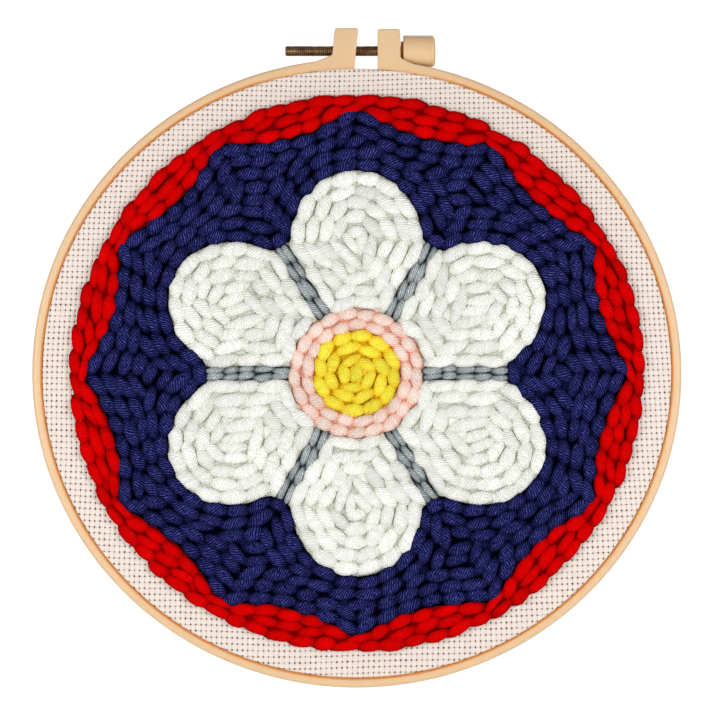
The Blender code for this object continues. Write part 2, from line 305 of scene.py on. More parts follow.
class Amount:
    """Number that shader nodes work out, so that its sums, products and powers add math nodes."""

    def __init__(self, socket):
        self.socket = socket

    def node(self, operation, *amounts):
        """Amount that a math node of that operation makes of amounts and plain numbers."""
        options = {"operation": operation}
        added = add_node(self.socket.id_data, "ShaderNodeMath", options, dict(enumerate(amounts)))
        return Amount(added.outputs[0])

    def apply(self, operation, *others):
        """Amount that a math node of that operation makes of this one, with others if it needs them."""
        return self.node(operation, self, *others)

    def __add__(self, other):
        return self.apply("ADD", other)

    def __sub__(self, other):
        return self.apply("SUBTRACT", other)

    def __rsub__(self, other):
        return self.node("SUBTRACT", other, self)

    def __mul__(self, other):
        return self.apply("MULTIPLY", other)

    def __truediv__(self, other):
        return self.apply("DIVIDE", other)

    def __pow__(self, other):
        return self.apply("POWER", other)


def ramp_between(amount, low, high):
    """Smooth step of an amount from 0 at the low end to 1 at the high end."""
    options = {"interpolation_type": "SMOOTHSTEP"}
    inputs = {"Value": amount, "From Min": low, "From Max": high}
    return Amount(add_node(amount.socket.id_data, "ShaderNodeMapRange", options, inputs).outputs[0])


def blend(share, first, second):
    """Mix of two colours by a share; returns the colour."""
    inputs = {0: share, 6: first, 7: second}
    return add_node(share.socket.id_data, "ShaderNodeMix", {"data_type": "RGBA"}, inputs).outputs[2]


def noise(place, scale, detail):
    """Soft noise at a place."""
    inputs = {"Vector": place, "Scale": scale, "Detail": detail}
    return Amount(add_node(place.id_data, "ShaderNodeTexNoise", inputs=inputs).outputs[0])


def parts(place):
    """The three numbers of a place."""
    split = add_node(place.id_data, "ShaderNodeSeparateXYZ", inputs={0: place})
    return [Amount(part) for part in split.outputs]


def flat_place(across, up):
    """Place at two numbers, for a pattern."""
    return add_node(across.socket.id_data, "ShaderNodeCombineXYZ", inputs={0: across, 1: up}).outputs[0]


def point_value(tree, name):
    """Value of that name which a piece's points carry."""
    return Amount(add_node(tree, "ShaderNodeAttribute", {"attribute_name": name}).outputs["Fac"])


def new_group(name, colours, numbers, results):
    """Shader group from colours and numbers to a colour and other results.

    Returns the tree, its input sockets and its output node.
    """
    tree = bpy.data.node_groups.new(name, "ShaderNodeTree")
    sockets = [("INPUT", "NodeSocketColor", colours), ("INPUT", "NodeSocketFloat", numbers)]
    sockets += [("OUTPUT", "NodeSocketColor", ["Colour"]), ("OUTPUT", "NodeSocketFloat", results)]
    for direction, kind, socket_names in sockets:
        for socket_name in socket_names:
            tree.interface.new_socket(socket_name, in_out=direction, socket_type=kind)
    return tree, tree.nodes.new("NodeGroupInput").outputs, tree.nodes.new("NodeGroupOutput")


def plied_yarn_group():
    """Colour and relief of plied yarn.

    Strands run along lines of equal STRANDS_ROUND * u + v, with u round the yarn and v along it in
    strand pitches, and wander a little. Low parts take the gap colour, a painted shade, high parts
    the body colour and the crests of the strands a painted highlight colour, in dashes. The creases
    between strands take the painted shade too.
    """
    tree, given, result = new_group("plied yarn", ["Gap Shade", "Body", "Light"], ["Strand Contrast"], ["Height"])
    round_share, along, _ = parts(add_node(tree, "ShaderNodeUVMap", {"uv_map": "pattern"}).outputs[0])
    around = round_share * float(STRANDS_ROUND)
    wander = noise(flat_place(around, along), 0.35, 1.0)
    phase = around + along + (wander * 1.6 - 0.8)
    strand = (phase * FULL_TURN).apply("SINE") * 0.5 + 0.5
    fibre = noise(flat_place(phase * 3.1, (along - around) * 0.75), 1.0, 2.0)
    # Lower parts of each stitch blend towards the painted shade of the gap colour
    raised = ramp_between(point_value(tree, "crest"), 0.26, 0.98)
    body = blend(raised, given["Gap Shade"], given["Body"])
    contrast = Amount(given["Strand Contrast"])
    dashes = ramp_between(fibre, 0.42, 0.60) * 0.95 + 0.05
    # Painted highlight in dashes on the strands' crests
    lit = blend(strand**1.5 * raised**1.6 * dashes * contrast, body, given["Light"])
    # Painted shade in the creases between strands
    crease_shade = (1.0 - ramp_between(strand, 0.0, 0.35)) * (contrast * 0.4)
    shades = {"Value": point_value(tree, "tone_and_shade"), "Color": blend(crease_shade, lit, given["Gap Shade"])}
    toned = add_node(tree, "ShaderNodeHueSaturation", inputs=shades).outputs[0]
    set_inputs(result, {"Colour": toned, "Height": fibre * 0.6 + strand})
    return tree


def even_weave_group():
    """Colour and relief of an open even weave.

    The pattern's coordinates count threads, with a hole at each whole pair. Between four holes a
    warp or a weft thread lies on top in turn, so the line between two threads runs down in one
    square and across in the next. The holes take a dark painted shade, and the lines between
    threads a lighter painted shade.
    """
    tree, given, result = new_group("even weave", ["Thread", "Tint", "Line", "Hole Shade"], [], ["Height"])
    pattern = add_node(tree, "ShaderNodeUVMap", {"uv_map": "pattern"}).outputs[0]
    counts = parts(pattern)[:2]
    across, down = [(count - count.apply("ROUND")).apply("ABSOLUTE") for count in counts]
    reach = ((across / HOLE_ACROSS) ** 2.0 + (down / HOLE_DOWN) ** 2.0).apply("SQRT")
    size = noise(pattern, 0.55, 1.0) * 1.45 + 0.20
    hole = 1.0 - ramp_between(reach / size, 0.35, 1.05)
    square = counts[0].apply("FLOOR") + counts[1].apply("FLOOR")
    checker = square.apply("MODULO", 2.0).apply("ABSOLUTE")
    down_line, across_line = [1.0 - ramp_between(offset, 0.02, 0.13) for offset in (across, down)]
    line = down_line * checker + across_line * (1.0 - checker)
    stretched = add_node(tree, "ShaderNodeMapping", inputs={"Vector": pattern, "Scale": (1.7, 0.9, 1.0)})
    tint = noise(stretched.outputs[0], 1.3, 3.0)
    threads = blend(ramp_between(tint, 0.35, 0.70), given["Thread"], given["Tint"])
    # Painted shade along the lines between threads
    lined = blend(line * 0.30, threads, given["Line"])
    height = tint * 0.3 + (1.0 - line * 0.5 - hole)
    # Painted shade in the holes
    set_inputs(result, {"Colour": blend(hole, lined, given["Hole Shade"]), "Height": height})
    return tree


def moulded_plastic_group():
    """Colour, gloss and grain of the rings' plastic.

    Going outwards over the ring, the colour goes from a warm inner edge to a paler outer one, a
    painted glow inwards and a painted highlight outwards. The inner wall and its rim are a deep
    orange away from the lugs, a painted shade of the narrow gap against the cloth with a painted glow
    of light through the plastic, and so are the points whose "neck_shade" value is 1, the knob's
    neck in painted shade.
    """
    results = ["Roughness", "Height"]
    tree, given, result = new_group("moulded plastic", ["Inner", "Outer", "Edge"], [], results)
    place = add_node(tree, "ShaderNodeTexCoord").outputs["Object"]
    to_middle = {
        "Vector": place,
        "Location": (-HOOP_MIDDLE[0] / HALF_WIDTH, 0.0, -HOOP_MIDDLE[2] / HALF_HEIGHT),
        "Scale": (1.0 / HALF_WIDTH, 0.0, 1.0 / HALF_HEIGHT),
    }
    centred = add_node(tree, "ShaderNodeMapping", inputs=to_middle).outputs[0]
    length = add_node(tree, "ShaderNodeVectorMath", {"operation": "LENGTH"}, {0: centred})
    reach = Amount(length.outputs["Value"])
    inner_reach = 1.0 - RING_WALL / HALF_WIDTH
    clouds = noise(place, 38.0, 2.0)
    # Painted glow inwards and painted highlight outwards, with the plastic's clouded tone
    share = ramp_between(reach, inner_reach, 1.0) + (clouds * 0.5 - 0.25)
    body = blend(share, given["Inner"], given["Outer"])
    # Painted shade and glow along the inner edge, faded under the lugs
    edge = 1.0 - ramp_between(reach, inner_reach + EDGE_BAND_START, inner_reach + EDGE_BAND_END)
    under_lugs = ramp_between(parts(place)[2], EDGE_FADE_LOW, EDGE_FADE_HIGH)
    in_ring = reach.apply("GREATER_THAN", inner_reach - EDGE_BAND_INSIDE)
    edge = edge * (1.0 - under_lugs * 0.8) * in_ring
    # The knob's neck takes the same painted shade
    edge = edge.apply("MAXIMUM", point_value(tree, "neck_shade"))
    outputs = {
        "Colour": blend(edge, body, given["Edge"]),
        "Roughness": clouds * 0.16 + 0.34,
        "Height": noise(place, 2200.0, 2.0),
    }
    set_inputs(result, outputs)
    return tree


def new_material(name):
    """Material of that name, with its tree and its shader."""
    material = bpy.data.materials.new(name)
    material.use_nodes = True
    return material, material.node_tree, material.node_tree.nodes["Principled BSDF"]


def patterned(name, group, values, bump, constants):
    """Material of one group: its values go in, and its colour, gloss and relief reach the shader."""
    material, tree, shader = new_material(name)
    pattern = add_node(tree, "ShaderNodeGroup", {"node_tree": group}, values).outputs
    relief = {"Height": pattern["Height"], "Distance": bump, "Strength": 1.0}
    normal = add_node(tree, "ShaderNodeBump", inputs=relief).outputs[0]
    set_inputs(shader, {"Base Color": pattern["Colour"], "Normal": normal, **constants})
    if "Roughness" in pattern:
        set_inputs(shader, {"Roughness": pattern["Roughness"]})
    return material


# Per yarn colour: a painted shade for chinks and creases, its own body colour, and a painted highlight for
# the strands' crests
YARN_COLOURS = {
    "navy": {"Gap Shade": (0.0003, 0.001, 0.008), "Body": (0.0055, 0.0068, 0.060), "Light": (0.105, 0.112, 0.46)},
    "white": {"Gap Shade": (0.85, 0.86, 0.75), "Body": (0.99, 0.99, 0.94), "Light": (1.0, 1.0, 1.0)},
    "red": {"Gap Shade": (0.34, 0.0, 0.0003), "Body": (0.76, 0.0003, 0.0006), "Light": (0.94, 0.0006, 0.0012)},
    "grey": {"Gap Shade": (0.05, 0.065, 0.075), "Body": (0.36, 0.41, 0.425), "Light": (0.97, 1.0, 1.0)},
    "pink": {"Gap Shade": (1.0, 0.50, 0.36), "Body": (1.0, 0.80, 0.70), "Light": (1.0, 0.97, 0.92)},
    "yellow": {"Gap Shade": (0.96, 0.58, 0.012), "Body": (1.0, 0.87, 0.056), "Light": (1.0, 0.99, 0.18)},
}
# How strongly the painted strand highlights and crease shade show in each colour
STRAND_CONTRAST = {"navy": 0.95, "white": 0.75, "red": 0.5, "grey": 1.0, "pink": 0.75, "yellow": 0.6}
# Thread and tint are the cloth's own colours; line and hole are painted shade
WEAVE_COLOURS = {
    "Thread": (0.82, 0.75, 0.665),
    "Tint": (0.84, 0.69, 0.62),
    "Line": (0.55, 0.43, 0.36),
    "Hole Shade": (0.12, 0.036, 0.010),
}
# The inner and outer colours carry a painted glow and a painted highlight; the edge colour is painted shade
# and glow
PLASTIC_COLOURS = {"Inner": (0.79, 0.515, 0.29), "Outer": (0.78, 0.545, 0.315), "Edge": (0.66, 0.24, 0.04)}
PLASTIC_GLOW = {"Subsurface Weight": 0.35, "Subsurface Radius": (1.0, 0.35, 0.12), "Subsurface Scale": 0.003}


def opaque(shades):
    """The same colours with a fourth number for no transparency."""
    return {name: (*shade, 1.0) for name, shade in shades.items()}


def make_finishes():
    """Materials of every piece, by name."""
    yarn = plied_yarn_group()
    finishes = {}
    for colour, shades in YARN_COLOURS.items():
        values = {**opaque(shades), "Strand Contrast": STRAND_CONTRAST[colour]}
        constants = {"Roughness": 0.82, "Specular IOR Level": 0.02}
        finishes[colour] = patterned(f"{colour} yarn", yarn, values, YARN_RELIEF, constants)
    weave = even_weave_group()
    constants = {"Roughness": 0.88}
    finishes["cloth"] = patterned("open weave cotton", weave, opaque(WEAVE_COLOURS), WEAVE_RELIEF, constants)
    plastic = moulded_plastic_group()
    finishes["plastic"] = patterned(
        "beige moulded plastic", plastic, opaque(PLASTIC_COLOURS), GRAIN_RELIEF, PLASTIC_GLOW
    )
    finishes["brass"] = make_brass()
    return finishes


def make_brass():
    """Dark antique brass: brown in patches, worn to a yellower metal on others, dark in the roots."""
    material, tree, shader = new_material("antique brass")
    place = add_node(tree, "ShaderNodeTexCoord").outputs["Object"]
    worn = ramp_between(noise(place, 420.0, 3.0), 0.38, 0.66)
    metal = blend(worn, (0.13, 0.062, 0.024, 1.0), (0.28, 0.165, 0.07, 1.0))
    colour = blend(point_value(tree, "crest"), (0.03, 0.010, 0.004, 1.0), metal)
    set_inputs(shader, {"Base Color": colour, "Roughness": 0.5 - worn * 0.2, "Metallic": 0.6})
    return material


def oval(inset, turns):
    """Points of the outer ring's oval, less an inset: width * cos + i * height * sin."""
    return (HALF_WIDTH - inset) * np.cos(turns) + 1j * (HALF_HEIGHT - inset) * np.sin(turns)


def oval_angle(inset, across):
    """Angle on the upper half of that oval at a distance across from the middle."""
    return math.acos(across / (HALF_WIDTH - inset))


def oval_point(inset, across):
    """Point on the upper half of that oval at a distance across from the middle."""
    return complex(across, (HALF_HEIGHT - inset) * math.sin(oval_angle(inset, across)))


def softened(before, corner, after, reach):
    """Rounded corner: a quadratic curve from a point short of the corner to one past it."""
    start = corner + (before - corner) / abs(before - corner) * reach
    end = corner + (after - corner) / abs(after - corner) * reach
    share = np.linspace(0.0, 1.0, CORNER_POINTS)
    return (1 - share) ** 2 * start + 2 * share * (1 - share) * corner + share**2 * end


def lug_run(lug):
    """Outline of a lug from its foot in the gap to its gusset's end, its corners rounded."""
    side = 1.0 if lug["gusset_reach"] > 0 else -1.0
    corners = [
        oval_point(RING_WALL, lug["inner_foot"] + side * LUG_MARGIN),
        oval_point(RING_WALL, lug["inner_foot"]),
        complex(lug["inner_top"], lug["top_height"]),
        complex(lug["outer_top"], lug["top_height"]),
        complex(lug["outer_foot"], lug["gusset_height"]),
        oval_point(0.0, lug["gusset_reach"]),
        oval_point(0.0, lug["gusset_reach"] + side * 2 * LUG_MARGIN),
    ]
    reaches = [FOOT_CORNER, LUG_CORNER, LUG_CORNER, GUSSET_CORNER, LUG_CORNER]
    return np.concatenate([softened(*corners[k : k + 3], reach) for k, reach in enumerate(reaches)])


def ring_outline():
    """Outline of the split ring, clockwise, and how far each of its front edges is rounded."""
    right = lug_run(RIGHT_LUG)
    left = lug_run(LEFT_LUG)[::-1]
    outer_first = oval_angle(0.0, RIGHT_LUG["gusset_reach"] + LUG_MARGIN)
    outer_last = oval_angle(0.0, LEFT_LUG["gusset_reach"] - LUG_MARGIN) - FULL_TURN
    inner_first = oval_angle(RING_WALL, LEFT_LUG["inner_foot"] - LUG_MARGIN) - FULL_TURN
    inner_last = oval_angle(RING_WALL, RIGHT_LUG["inner_foot"] + LUG_MARGIN)
    outer = oval(0.0, np.linspace(outer_first, outer_last, ARC_STEPS + 1))
    inner = oval(RING_WALL, np.linspace(inner_first, inner_last, ARC_STEPS + 1))
    outline = np.concatenate([right, outer, left, inner])
    change = np.clip(np.arange(len(outer)) / EDGE_CHANGE_POINTS, 0.0, 1.0)
    change = np.minimum(change, change[::-1])
    rounding = np.concatenate(
        [
            np.full(len(right), LUG_EDGE_ROUND),
            LUG_EDGE_ROUND + (OUTER_EDGE_ROUND - LUG_EDGE_ROUND) * change,
            np.full(len(left), LUG_EDGE_ROUND),
            np.full(len(inner), INNER_EDGE_ROUND),
        ]
    )
    rounding[:CORNER_POINTS] = INNER_EDGE_ROUND
    rounding[-len(inner) - CORNER_POINTS : -len(inner)] = INNER_EDGE_ROUND
    return outline, rounding


def inward_normals(outline):
    """Directions into the shape at each point of a clockwise outline, long enough at its corners."""
    after = np.roll(outline, -1) - outline
    after = after / np.abs(after)
    before = np.roll(after, 1)
    joint = -1j * (before + after)
    return joint / (1.0 + (before * after.conj()).real)


def make_outer_ring(finish):
    """Split ring with two lugs.

    Copies of its outline are stacked in depth. Near the front and the back they draw in along a
    quarter circle, and both faces are flat. The screw's holes and the knob's room are then cut.
    """
    outline, rounding = ring_outline()
    normals = inward_normals(outline)
    turns = np.linspace(0.0, math.pi / 2, ROUND_STEPS + 1)
    rows = []
    for turn in turns:
        inset = rounding * (1.0 - math.sin(turn))
        rows.append(placed(outline + normals * inset, FRONT + rounding * (1.0 - math.cos(turn))))
    back_rounding = np.minimum(rounding, BACK_EDGE_ROUND)
    for turn in turns[::-1]:
        inset = back_rounding * (1.0 - math.sin(turn))
        rows.append(placed(outline + normals * inset, BACK - back_rounding * (1.0 - math.cos(turn))))
    count = len(outline)
    last_row = (len(rows) - 1) * count
    faces = ring_quads(len(rows), count)[:, ::-1].tolist()
    faces.append(list(range(count)))
    faces.append(list(range(last_row + count - 1, last_row - 1, -1)))
    ring = new_piece("split_ring", np.stack(rows), faces, finish, "hoop")
    cut_screw_room(ring)
    ring.data.shade_smooth()
    ring.data.set_sharp_from_angle(angle=math.radians(32.0))
    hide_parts("outer_hoop")


def cut_screw_room(ring):
    """Cut the screw's holes and the room for the knob and its neck out of the lugs."""
    hole = SCREW_RADIUS + HOLE_CLEARANCE
    neck_room = NECK_LEFT - SEAT_GAP
    knob_room = KNOB_LEFT - SEAT_GAP
    profile = [
        (HOLE_LEFT_END, 0.0),
        (HOLE_LEFT_END, hole),
        (neck_room, hole),
        (neck_room, NECK_RADIUS + KNOB_ROOM),
        (knob_room, NECK_RADIUS + KNOB_ROOM),
        (knob_room, KNOB_RADIUS + KNOB_ROOM),
        (KNOB_RIGHT + KNOB_ROOM, KNOB_RADIUS + KNOB_ROOM),
        (KNOB_RIGHT + KNOB_ROOM, 0.0),
    ]
    points, faces = turned(profile, CUT_SIDES)
    cutter_mesh = bpy.data.meshes.new("screw_room")
    cutter_mesh.from_pydata(points.tolist(), [], faces)
    cutter = bpy.data.objects.new("screw_room", cutter_mesh)
    bpy.context.scene.collection.objects.link(cutter)
    cutting = ring.modifiers.new("screw room", "BOOLEAN")
    cutting.operation = "DIFFERENCE"
    cutting.object = cutter
    bpy.context.view_layer.update()
    cut_mesh = bpy.data.meshes.new_from_object(ring.evaluated_get(bpy.context.evaluated_depsgraph_get()))
    ring.modifiers.clear()
    ring.data = cut_mesh
    bpy.data.objects.remove(cutter)


def turned_rings(along, radius, ends, sides):
    """Points and faces of rings about the screw's axis, with a point on the axis at each end.

    A ring's place along the axis and its radius are numbers for the whole ring or for each side.
    """
    turns = np.linspace(0.0, FULL_TURN, sides, endpoint=False)[None, :]
    rings = np.stack([along + 0.0 * turns, radius * np.sin(turns), radius * np.cos(turns)], axis=-1)
    poles = [[end, 0.0, 0.0] for end in ends]
    points = np.concatenate([rings.reshape(-1, 3), poles]) + SCREW_AXIS
    ring = np.arange(sides)
    faces = ring_quads(len(rings), sides)[:, ::-1].tolist()
    faces += fan(len(points) - 2, ring, True).tolist()
    faces += fan(len(points) - 1, ring + (len(rings) - 1) * sides, False).tolist()
    return points, faces


def turned(profile, sides):
    """Points and faces of a profile turned about the screw's axis.

    The profile is pairs of a place along the axis and a radius, and starts and ends on the axis.
    """
    along, radius = np.array(profile[1:-1]).T[:, :, None]
    return turned_rings(along, radius, [profile[0][0], profile[-1][0]], sides)


def quarter(centre_along, centre_radius, reach, first, last, steps):
    """Points of a circle arc in a profile, from one angle to another measured from the X axis."""
    turns = np.linspace(first, last, steps + 1)
    return [(centre_along + reach * math.cos(t), centre_radius + reach * math.sin(t)) for t in turns]


def make_knob(finish):
    """Round knob with a bevelled rim by the lug, a fine groove and a rounded end, on a short neck."""
    bore = SCREW_RADIUS + SEAT_GAP
    floor = SCREW_RIGHT_END + SEAT_GAP
    rim = KNOB_RADIUS - KNOB_RIM_BEVEL
    end = KNOB_RIGHT - KNOB_END_ROUND
    dimple = KNOB_RIGHT - KNOB_DIMPLE_DEPTH
    profile = [(floor, 0.0), (floor, bore), (NECK_LEFT, bore), (NECK_LEFT, NECK_RADIUS - NECK_BEVEL)]
    profile += [(NECK_LEFT + NECK_BEVEL, NECK_RADIUS), (KNOB_LEFT, NECK_RADIUS), (KNOB_LEFT, rim)]
    profile += quarter(KNOB_LEFT + KNOB_RIM_BEVEL, rim, KNOB_RIM_BEVEL, math.pi, math.pi / 2, 4)[1:]
    profile += [(end - KNOB_GROOVE_START, KNOB_RADIUS), (end - 0.0003, KNOB_RADIUS - KNOB_GROOVE_DEPTH)]
    profile += [(end - KNOB_GROOVE_END, KNOB_RADIUS - KNOB_GROOVE_DEPTH)]
    profile += quarter(end, KNOB_RADIUS - KNOB_END_ROUND, KNOB_END_ROUND, math.pi / 2, 0.0, 8)
    profile += [(dimple, KNOB_RADIUS - KNOB_END_ROUND - KNOB_DIMPLE_RIM), (dimple, 0.0)]
    points, faces = turned(profile, KNOB_SIDES)
    # The neck's points carry painted shade: the plastic's deep orange edge colour
    in_neck = [place <= KNOB_LEFT and reach <= NECK_RADIUS for place, reach in profile[1:-1]]
    neck_shade = np.concatenate([np.repeat(in_neck, KNOB_SIDES), [0.0, 0.0]])
    knob = new_piece("round_knob", points, faces, finish, "screw", values={"neck_shade": neck_shade})
    knob.data.set_sharp_from_angle(angle=math.radians(32.0))
    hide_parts("knob")


def make_screw(finish):
    """Threaded rod.

    Its radius falls from crest to root and back once a pitch, and the crest's place along the rod
    advances by one pitch a turn. Both ends taper inside a chamfer.
    """
    steps = int(round((SCREW_RIGHT_END - SCREW_LEFT_END) / THREAD_PITCH * THREAD_STEPS))
    along = np.linspace(SCREW_LEFT_END, SCREW_RIGHT_END, steps + 1)[:, None]
    turns = np.linspace(0.0, FULL_TURN, SCREW_SIDES, endpoint=False)[None, :]
    phase = (along / THREAD_PITCH + turns / FULL_TURN) % 1.0
    ridge = np.clip(2.4 - 2.9 * np.abs(2.0 * phase - 1.0), 0.0, 1.0)
    radius = SCREW_ROOT + (SCREW_RADIUS - SCREW_ROOT) * ridge
    from_end = np.minimum(along - SCREW_LEFT_END, SCREW_RIGHT_END - along)
    radius = np.minimum(radius, SCREW_RADIUS - SCREW_CHAMFER + from_end)
    points, faces = turned_rings(along, radius, [SCREW_LEFT_END, SCREW_RIGHT_END], SCREW_SIDES)
    crest = np.concatenate([ridge.ravel(), [1.0, 1.0]])
    rod = new_piece("threaded_rod", points, faces, finish, "screw", values={"crest": crest})
    rod.data.set_sharp_from_angle(angle=math.radians(50.0))
    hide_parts("bolt")


def make_inner_ring(finish):
    """Plain ring under the cloth: a rounded profile of (inset, depth) carried round the oval."""
    outside = RING_WALL + 2 * SEAT_GAP + CLOTH_THICKNESS
    inside = outside + INNER_WALL
    front = CLOTH_BACK + SEAT_GAP
    seat = INNER_RING_SEAT_ROUND
    edge = INNER_RING_EDGE_ROUND
    profile = []
    for centre_inset, centre_depth, reach, first in (
        (outside + seat, front + seat, seat, math.pi),
        (inside - edge, front + edge, edge, 1.5 * math.pi),
        (inside - edge, BACK - edge, edge, 0.0),
        (outside + edge, BACK - edge, edge, 0.5 * math.pi),
    ):
        for turn in np.linspace(first, first + math.pi / 2, 5):
            profile.append((centre_inset + reach * math.cos(turn), centre_depth + reach * math.sin(turn)))
    turns = np.linspace(0.0, FULL_TURN, INNER_RING_STEPS, endpoint=False)
    rows = [placed(oval(inset, turns), depth) for inset, depth in profile]
    faces = ring_quads(len(profile), INNER_RING_STEPS, close_rows=True)
    ring = new_piece("plain_ring", np.stack(rows), faces.tolist(), finish, "hoop")
    ring.data.set_sharp_from_angle(angle=math.radians(40.0))
    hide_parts("inner_hoop")


def thread_counts(flat):
    """Count of threads across and up to a point of the cloth as it was before it was drawn tight.

    The threads lie closer together at the top than at the bottom, and wander a little.
    """
    across = flat.real
    up = flat.imag
    warp = across / (WARP_SPACING - WARP_CLOSING * up)
    weft = WEFT_RATES[0] * up + WEFT_RATES[1] * up**2 + WEFT_RATES[2] * up**3
    warp = warp + 0.45 * np.sin(up / 0.031 + 0.8) + 0.12 * np.sin(up / 0.009 + across / 0.02)
    weft = weft + 0.70 * np.sin(across / 0.043 + 2.1) + 0.12 * np.sin(across / 0.011 - up / 0.025)
    return warp, weft


def weave_relief(warp, weft):
    """Height of the weave: half-round threads that lie on top in turn, and pits at the holes."""
    warp_offset = warp - np.round(warp)
    weft_offset = weft - np.round(weft)
    down_on_top = (np.floor(warp) + np.floor(weft)) % 2 == 1
    down_thread = np.abs(np.sin(math.pi * warp)) ** THREAD_ROUNDNESS
    across_thread = np.abs(np.sin(math.pi * weft)) ** THREAD_ROUNDNESS
    threads = np.where(down_on_top, down_thread, across_thread)
    reach = np.hypot(warp_offset / HOLE_ACROSS, weft_offset / HOLE_DOWN)
    pit = np.clip(PIT_REACH - reach, 0.0, 1.0)
    return THREAD_RELIEF * threads * (1.0 - pit) - HOLE_DEPTH * pit


def cloth_profile():
    """Rings of the cloth's surface as (inset, depth, flat inset, outward normal, relief share).

    They go over the front face, the bend, the skirt and its hem, and back inside. The flat inset
    is where the same ring lay before the sheet was bent over the inner ring.
    """
    outside = RING_WALL + CLOTH_SEAT
    bend_start = outside + CLOTH_BEND
    trimmed = BACK - CLOTH_TRIM
    rings = []
    hidden = HALF_WIDTH - CLOTH_HIDDEN_RADIUS
    for inset in np.linspace(hidden, bend_start, CLOTH_FACE_RINGS):
        rings.append((inset, CLOTH_FRONT, inset, (0.0, -1.0), 1.0))
    for turn in np.linspace(0.0, math.pi / 2, 6)[1:]:
        inset = bend_start - CLOTH_BEND * math.sin(turn)
        depth = CLOTH_FRONT + CLOTH_BEND * (1.0 - math.cos(turn))
        rings.append((inset, depth, bend_start - CLOTH_BEND * turn, (-math.sin(turn), -math.cos(turn)), 1.0))
    face_reach = bend_start - CLOTH_BEND * math.pi / 2
    skirt_top = CLOTH_FRONT + CLOTH_BEND
    for depth in np.linspace(skirt_top, trimmed, 9)[1:]:
        rings.append((outside, depth, face_reach - (depth - skirt_top), (-1.0, 0.0), 0.0))
    inside = outside + CLOTH_THICKNESS
    for depth in (trimmed, 0.0, CLOTH_BACK):
        rings.append((inside, depth, face_reach - (depth - skirt_top), (1.0, 0.0), 0.0))
    for inset in np.linspace(inside, hidden, 18)[1:]:
        share = BACK_RELIEF_SHARE if inset < hidden else 0.0
        rings.append((inset, CLOTH_BACK, inset, (0.0, 1.0), share))
    return rings


def make_cloth(finish):
    """One stretched sheet of open weave: surface = profile ring * oval, raised by the weave's relief."""
    turns = np.linspace(0.0, FULL_TURN, CLOTH_STEPS, endpoint=False)
    direction = np.cos(turns) + 1j * np.sin(turns)
    rows = []
    patterns = []
    for inset, depth, flat_inset, (sideways, backwards), share in cloth_profile():
        warp, weft = thread_counts(oval(flat_inset, turns))
        rise = weave_relief(warp, weft) * share
        rows.append(placed(oval(inset, turns) - direction * sideways * rise, depth + backwards * rise))
        patterns.append(np.stack([warp, weft], axis=-1))
    poles = placed(np.zeros(2, complex), np.array([CLOTH_FRONT, CLOTH_BACK]))
    points = np.concatenate([np.concatenate(rows), poles])
    pattern = np.concatenate([np.concatenate(patterns), np.zeros((2, 2))])
    ring = np.arange(CLOTH_STEPS)
    last = ring + (len(rows) - 1) * CLOTH_STEPS
    shapes = [ring_quads(len(rows), CLOTH_STEPS)]
    shapes += [fan(len(points) - 2, ring, True), fan(len(points) - 1, last, False)]
    faces = [face for shape in shapes for face in shape[:, ::-1].tolist()]
    corners = np.concatenate([shape[:, ::-1].ravel() for shape in shapes])
    cloth = new_piece("stretched_cloth", points, faces, finish, "hoop", pattern[corners])
    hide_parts("cloth")


def field_point(radius, angle):
    """Point of the stitched field, in the hoop's proportion."""
    return radius * np.cos(angle) + 1j * FIELD_PROPORTION * radius * np.sin(angle)


def flower_radius(angle):
    """Edge of the flower: rounded petals, the first pointing up, that stop at the veins' ends."""
    lobe = np.abs(np.cos(PETALS / 2 * (angle - math.pi / 2))) ** PETAL_ROUNDNESS
    return np.maximum(VEIN_END, PETAL_NOTCH + (PETAL_TIP - PETAL_NOTCH) * lobe)


def border_radius(angle):
    """Inner edge of the border: scallops that swell inwards."""
    swell = np.abs(np.sin(SCALLOPS / 2 * angle)) ** SCALLOP_ROUNDNESS
    return FIELD_HALF_WIDTH - BORDER_NARROW - (BORDER_WIDE - BORDER_NARROW) * swell


def even_steps(outline, step, closed=True):
    """The same outline with its points evenly spaced along it."""
    path = np.append(outline, outline[0]) if closed else outline
    lengths = np.concatenate([[0.0], np.cumsum(np.abs(np.diff(path)))])
    count = max(2, int(round(lengths[-1] / step)))
    places = np.linspace(0.0, lengths[-1], count, endpoint=not closed)
    return np.interp(places, lengths, path.real) + 1j * np.interp(places, lengths, path.imag)


def round_outline(radius_at):
    """Counter-clockwise outline of the field at a radius, or at one that follows the angle."""
    turns = np.linspace(0.0, FULL_TURN, 2400, endpoint=False)
    radius = radius_at(turns) if callable(radius_at) else radius_at
    return even_steps(field_point(radius, turns), OUTLINE_STEP)


def petal_outline(middle):
    """Counter-clockwise outline of the petal that points at that angle, between two veins."""
    half_turn = math.pi / PETALS
    root_turn = half_turn - math.asin(VEIN_HALF_WIDTH / PINK_RADIUS)
    edge_turn = half_turn - math.asin(VEIN_HALF_WIDTH / VEIN_END)
    sides = np.linspace(PINK_RADIUS, VEIN_END, 60)
    side_turns = half_turn - np.arcsin(VEIN_HALF_WIDTH / sides)
    root = field_point(PINK_RADIUS, middle + np.linspace(root_turn, -root_turn, 60))
    edge_turns = middle + np.linspace(-edge_turn, edge_turn, 400)
    edge = field_point(flower_radius(edge_turns), edge_turns)
    right = field_point(sides, middle - side_turns)
    left = field_point(sides, middle + side_turns)[::-1]
    return even_steps(np.concatenate([root, right[1:-1], edge, left[1:-1]]), OUTLINE_STEP)


def vein_outline(direction):
    """Counter-clockwise outline of the narrow bar between two petals."""
    radii = np.linspace(PINK_RADIUS, VEIN_END, 30)
    turns = np.arcsin(VEIN_HALF_WIDTH / radii)
    right = field_point(radii, direction - turns)
    left = field_point(radii, direction + turns)[::-1]
    return even_steps(np.concatenate([right, left]), OUTLINE_STEP)


